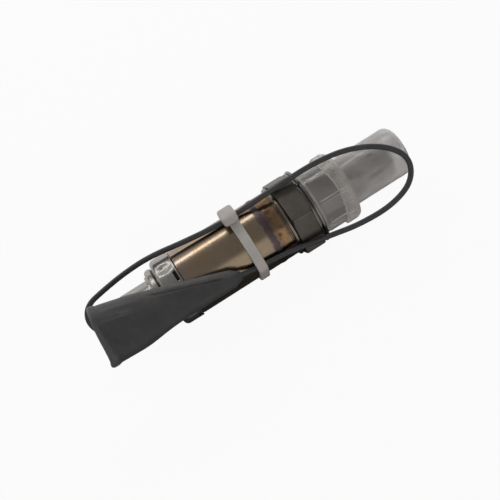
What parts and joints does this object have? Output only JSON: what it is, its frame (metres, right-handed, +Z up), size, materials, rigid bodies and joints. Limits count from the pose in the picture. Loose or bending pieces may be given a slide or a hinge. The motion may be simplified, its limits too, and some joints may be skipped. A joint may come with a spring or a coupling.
{
  "type": "oxygen sensor",
  "caption": "Unheated exhaust oxygen sensor with a threaded hexagon shell, a push-on thread cap, and a lead folded along its body, held by a cable tie and ending in a rubber boot.",
  "frame": {"origin": "centre of the sealing seat: on the sensor's axis, in the plane of the gasket's front face", "axes": "+Z up from the level ground that the sensor lies on, +X along the sensor towards its capped tip (its own axis rises 1.57 degrees from +X), -Y the side that the boot lies on"},
  "size_m": [0.1033, 0.03, 0.0333],
  "materials": {
    "shell_steel": "turned, satin",
    "gasket_steel": "bright pressed",
    "shield_steel": "satin",
    "heat_tinted_steel": "golden heat tint, satin",
    "bright_steel": "bright drawn",
    "ceramic": "fired, matt",
    "packing": "pressed powder",
    "ptfe": "porous",
    "grommet_rubber": "matt",
    "lead_cover": "satin",
    "boot_rubber": "matt",
    "tinned_brass": "tinned",
    "tie_nylon": "satin",
    "cap_plastic": "frosted, translucent"
  },
  "bodies": {
    "sensor": {"hex_shell": "shell_steel", "sealing_gasket": "gasket_steel", "slotted_shield": "shield_steel", "zirconia_thimble": "ceramic", "seat_washer": "gasket_steel", "talc_ring": "packing", "ceramic_tube": "ceramic", "contact_stem": "shield_steel", "disc_spring": "shield_steel", "protective_sleeve": "heat_tinted_steel", "vent_filter": "ptfe", "rear_ferrule": "bright_steel", "insulating_bush": "ceramic", "lead_clip": "shield_steel", "lead_grommet": "grommet_rubber", "lead_inner_end": "lead_cover", "lead_wire": "lead_cover", "lead_boot_end": "lead_cover", "connector_boot": "boot_rubber", "boot_receptacle": "tinned_brass", "cable_tie": "tie_nylon"},
    "cap": {"thread_cap": "cap_plastic"}
  },
  "joints": [
    {"name": "cap_pull", "type": "slide", "parent": "sensor", "child": "cap", "axis": [0.9996, 0, 0.0273], "range_m": [0, 0.04]}
  ]
}
